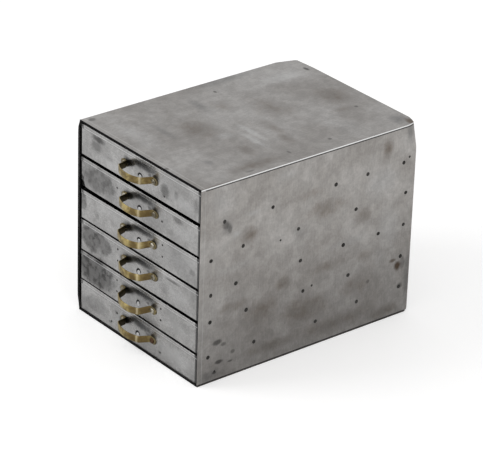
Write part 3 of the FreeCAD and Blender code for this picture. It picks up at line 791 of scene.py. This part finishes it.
def make_pull(number):
    low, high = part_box(f"drawer_{number}_handle")
    shift, droop = PULL_SET[number][0] * MM, PULL_SET[number][3] * MM
    centre_z = (low.z + high.z) / 2
    line = strap_line()
    mesh = bmesh.new()
    strap_shade = mesh.verts.layers.float.new("strap_shade")
    rings = []
    radius = STRAP_WIDTH / 2
    for index, point in enumerate(line):
        before, after = line[max(index - 1, 0)], line[min(index + 1, len(line) - 1)]
        along = (after - before).normalized()
        outward = Vector((-along.y, along.x))
        from_end = min(PULL_HALF - abs(point.x), radius)
        on_foot = point.y < STRAP_THICK
        half_width = math.sqrt(max(radius ** 2 - (radius - from_end) ** 2, (0.4 * MM) ** 2))
        hang = droop * point.y / PULL_REACH
        ring = []
        for width, thick in section(half_width, STRAP_THICK / 2):
            flat = point + outward * thick
            vertex = mesh.verts.new((
                flat.x + shift, high.y - flat.y, centre_z + width + rise_at(number, flat.x) - hang))
            # painted shade: the strap's back is made almost black, and its legs darker where they leave the
            # feet
            behind = 0.9 if thick < 0 and not on_foot else 0.0
            in_bend = 0.4 if 0.1 < point.y / PULL_REACH < 0.35 else 0.0
            vertex[strap_shade] = max(behind, in_bend)
            ring.append(vertex)
        rings.append(ring)
    for first, second in zip(rings, rings[1:]):
        for index in range(len(first)):
            following = (index + 1) % len(first)
            mesh.faces.new((first[index], first[following], second[following], second[index]))
    mesh.faces.new(list(reversed(rings[0])))
    mesh.faces.new(rings[-1])
    bmesh.ops.recalc_face_normals(mesh, faces=mesh.faces)
    data = bpy.data.meshes.new(f"drawer_{number}_bow_pull")
    mesh.to_mesh(data)
    mesh.free()
    data.shade_smooth()
    return put_piece(f"drawer_{number}_bow_pull", data, pull_brass, f"drawer_{number}",
                     f"drawer_{number}_handle")


def set_screws(number):
    """The drawer's two screws, turned about their own axes and moved with the pull's feet."""
    shift, _, _, _, left_turn, right_turn = PULL_SET[number]
    low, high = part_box(f"drawer_{number}_screws")
    centre_z = (low.z + high.z) / 2

    def move(point):
        axis_x = math.copysign(SCREW_X, point.x)
        turn = math.radians(left_turn if point.x < 0 else right_turn)
        across, up_from = point.x - axis_x, point.z - centre_z
        point.x = axis_x + across * math.cos(turn) - up_from * math.sin(turn) + shift * MM
        point.z = centre_z + across * math.sin(turn) + up_from * math.cos(turn) + rise_at(number, axis_x)
        return point

    screws = bent_copy(f"drawer_{number}_screws", f"drawer_{number}_set_screws", move, screw_brass,
                       f"drawer_{number}", 4 * MM)
    if number == 6:
        # its right screw has been replaced by one that rusts
        screws.data.materials.append(rusty_screw)
        for face in screws.data.polygons:
            face.material_index = int(face.center.x > 0)
    return screws


for number in DRAWERS:
    pull = make_pull(number)
    screws = set_screws(number)
print("pull faces", len(pull.data.polygons), "screw faces", len(screws.data.polygons))

# %% [markdown]
# ## Weld marks
# Each runner is spot welded through the wall, and each weld leaves a round dimple, darker than the
# rubbed steel round it. Dimples repeat, so Geometry Nodes make them: a small lens with a raised rim
# is put on every point, turned to face out of the wall, and varied a little in size.


# %% A Geometry Nodes tree for round marks
def build_marks():
    tree, given, result = start_group("round marks", "GeometryNodeTree", [
        ("Geometry", "NodeSocketGeometry", None), ("Radius", "NodeSocketFloat", 2.8 * MM),
        ("Rise", "NodeSocketFloat", 0.12 * MM), ("Facing", "NodeSocketVector", (0, 0, 0)),
        ("Spread", "NodeSocketFloat", 0.2), ("Seed", "NodeSocketInt", 1),
        ("Material", "NodeSocketMaterial", None),
    ], [("Geometry", "NodeSocketGeometry")])
    lens = add(tree, "GeometryNodeMeshUVSphere", {"Segments": 20, "Rings": 8, "Radius": given["Radius"]})
    flat_share = maths(tree, "DIVIDE", given["Rise"], given["Radius"])
    flat_scale = add(tree, "ShaderNodeCombineXYZ", {"X": 1.0, "Y": 1.0, "Z": flat_share})
    flat = add(tree, "GeometryNodeTransform", {"Geometry": lens.outputs["Mesh"],
                                               "Scale": flat_scale.outputs[0]})
    ring = add(tree, "GeometryNodeCurvePrimitiveCircle", {"Resolution": 20, "Radius": given["Radius"]})
    wire = add(tree, "GeometryNodeCurvePrimitiveCircle", {"Resolution": 6, "Radius": given["Rise"]})
    rim = add(tree, "GeometryNodeCurveToMesh", {"Curve": ring.outputs["Curve"],
                                                "Profile Curve": wire.outputs["Curve"]})
    joined = add(tree, "GeometryNodeJoinGeometry")
    tree.links.new(flat.outputs["Geometry"], joined.inputs[0])
    tree.links.new(rim.outputs["Mesh"], joined.inputs[0])
    size = add(tree, "FunctionNodeRandomValue", {"Min": (1, 1, 1), "Max": (1, 1, 1)},
               data_type="FLOAT_VECTOR")
    shrink = maths(tree, "SUBTRACT", 1.0, given["Spread"])
    low = add(tree, "ShaderNodeCombineXYZ", {"X": shrink, "Y": shrink, "Z": 1.0})
    tree.links.new(low.outputs[0], size.inputs["Min"])
    tree.links.new(given["Seed"], size.inputs["Seed"])
    placed = add(tree, "GeometryNodeInstanceOnPoints", {
        "Points": given["Geometry"], "Instance": joined.outputs[0], "Rotation": given["Facing"],
        "Scale": size.outputs["Value"],
    })
    real = add(tree, "GeometryNodeRealizeInstances", {"Geometry": placed.outputs[0]})
    painted = add(tree, "GeometryNodeSetMaterial", {"Geometry": real.outputs[0],
                                                    "Material": given["Material"]})
    smooth = add(tree, "GeometryNodeSetShadeSmooth", {"Geometry": painted.outputs[0]})
    tree.links.new(smooth.outputs[0], result["Geometry"])
    return tree


MARKS = build_marks()


def make_marks(name, places, facing, radius, rise, material, body, seed=1):
    """Round marks at the places, in metres, as one plain mesh that rides on a body."""
    points = bpy.data.meshes.new(name + "_points")
    points.from_pydata([tuple(place) for place in places], [], [])
    holder = bpy.data.objects.new(name + "_points", points)
    bpy.context.scene.collection.objects.link(holder)
    modifier = holder.modifiers.new("marks", "NODES")
    modifier.node_group = MARKS
    for item in MARKS.interface.items_tree:
        values = {"Radius": radius, "Rise": rise, "Facing": facing, "Seed": seed, "Material": material}
        if item.in_out == "INPUT" and item.name in values:
            modifier[item.identifier] = values[item.name]
    evaluated = holder.evaluated_get(bpy.context.evaluated_depsgraph_get())
    data = bpy.data.meshes.new_from_object(evaluated)
    data.name = name
    bpy.data.objects.remove(holder)
    put_piece(name, data, None, body)
    print(name, len(places), "marks,", len(data.polygons), "faces")


# %% Place the marks
weld_steel = make_dull_steel("weld steel", grey(64, 2), grey(34, 2), 0.5)
plug_shadow_steel = make_dull_steel("plug shadow steel", grey(30, 0), grey(14, 0), 0.5)
plug_highlight_steel = make_dull_steel("plug highlight steel", grey(226, 0), grey(190, 1), 0.3)
# distance behind the front edge and height, in millimetres, row by row from the top runner down
WELD_PLACES = [
    (41, 247), (126, 245), (240, 248), (299, 248), (367, 247.5),
    (19, 193), (75, 200), (174, 197.5), (280, 198), (374, 198),
    (20, 139), (64, 145), (180, 145.6), (259, 147), (325, 146), (373, 147),
    (20, 97), (84, 97), (187, 95), (271, 95), (371, 96),
    (18, 42), (100, 41), (213, 38), (290, 46), (371, 46),
]
SMALL_PLACES = [(377.5, 254), (142, 189), (203, 99), (30, 16)]


def on_side(places, side, outward):
    return [Vector((side * HALF_WIDTH + outward, back * MM - HALF_DEPTH, height * MM))
            for back, height in places]


def bowed(places):
    return [bow_left_wall(place) for place in places]


quarter = math.radians(90)
make_marks("weld_marks_right", on_side(WELD_PLACES, 1, 0), (0, quarter, 0), 3.3 * MM, 0.14 * MM,
           weld_steel, "cabinet", 3)
make_marks("small_marks_right", on_side(SMALL_PLACES, 1, 0), (0, quarter, 0), 1.9 * MM, 0.1 * MM,
           weld_steel, "cabinet", 4)
make_marks("weld_marks_left", bowed(on_side(WELD_PLACES, -1, 0)), (0, quarter, 0), 3.3 * MM, 0.14 * MM,
           weld_steel, "cabinet", 5)
# On each front: an old plugged hole behind the grip, drawn as a black ring of painted shadow round a bright
# cap of painted highlight, and small punch marks beside the pull.
FRONT_MARKS = {
    1: [(56, 262)], 2: [(-53, 232), (52, 222)], 3: [(54, 186), (54, 168)], 4: [(-50, 136), (-50, 118)],
    5: [(53, 85), (53, 67), (-51, 86), (-51, 68)], 6: [(-50, 33), (-63, 14), (53, 15)],
}
for number in DRAWERS:
    low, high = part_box(f"drawer_{number}_front")
    face_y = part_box(f"drawer_{number}_handle")[1].y
    plug_z = (low.z + high.z) / 2 - 4 * MM
    make_marks(f"drawer_{number}_plug_ring", [Vector((0, face_y, plug_z))], (quarter, 0, 0), 4.6 * MM,
               0.6 * MM, plug_shadow_steel, f"drawer_{number}", number)
    make_marks(f"drawer_{number}_plug", [Vector((1 * MM, face_y, plug_z - 1.2 * MM))], (quarter, 0, 0),
               2.8 * MM, 1.2 * MM, plug_highlight_steel, f"drawer_{number}", number)
    make_marks(f"drawer_{number}_punch_marks",
               [Vector((x * MM, face_y, z * MM)) for x, z in FRONT_MARKS[number]], (quarter, 0, 0),
               1.7 * MM, 0.12 * MM, weld_steel, f"drawer_{number}", number)

# %% [markdown]
# ## Floor and light
# The cabinet was photographed on white. The floor is white to the camera and keeps the shadow under
# the case. Broad lamps and a pale world light it evenly, because bare metal shows every lamp.


# %% Floor
def make_floor():
    mesh = bpy.data.meshes.new("floor")
    reach = 6.0
    mesh.from_pydata([(-reach, -reach, 0), (reach, -reach, 0), (reach, reach, 0), (-reach, reach, 0)],
                     [], [(0, 1, 2, 3)])
    floor = bpy.data.objects.new("floor", mesh)
    bpy.context.scene.collection.objects.link(floor)
    made = bpy.data.materials.new("floor white")
    made.use_nodes = True
    tree = made.node_tree
    shader = tree.nodes["Principled BSDF"]
    shader.inputs["Base Color"].default_value = (0.88, 0.88, 0.88, 1)
    shader.inputs["Roughness"].default_value = 0.9
    shader.inputs["Emission Color"].default_value = (1, 1, 1, 1)
    seen = add(tree, "ShaderNodeLightPath").outputs["Is Camera Ray"]
    tree.links.new(maths(tree, "MULTIPLY", seen, 0.35), shader.inputs["Emission Strength"])
    floor.data.materials.append(made)


make_floor()


# %% World and lamps
def make_world():
    world = bpy.data.worlds.new("pale room")
    bpy.context.scene.world = world
    world.use_nodes = True
    tree = world.node_tree
    background = tree.nodes["Background"]
    background.inputs["Color"].default_value = (1, 1, 1, 1)
    path = add(tree, "ShaderNodeLightPath").outputs
    plain = maths(tree, "MAXIMUM", path["Is Camera Ray"],
                  maths(tree, "MAXIMUM", path["Is Glossy Ray"], path["Is Transmission Ray"]))
    tree.links.new(maths(tree, "ADD", maths(tree, "MULTIPLY", plain, 0.35), 0.65),
                   background.inputs["Strength"])


def make_lamp(name, place, size, power):
    lamp = bpy.data.lights.new(name, "AREA")
    lamp.shape = "SQUARE"
    lamp.size = size
    lamp.energy = power
    holder = bpy.data.objects.new(name, lamp)
    bpy.context.scene.collection.objects.link(holder)
    holder.location = place
    holder.rotation_euler = (aim - Vector(place)).to_track_quat("-Z", "Y").to_euler()


make_world()
make_lamp("key lamp", (-1.6, -2.4, 2.6), 1.6, 30)
make_lamp("fill lamp", (2.6, -0.6, 1.8), 1.8, 12)
print("lamps", [light.name for light in bpy.data.lights])

bpy.context.scene.view_settings.view_transform = "Standard"
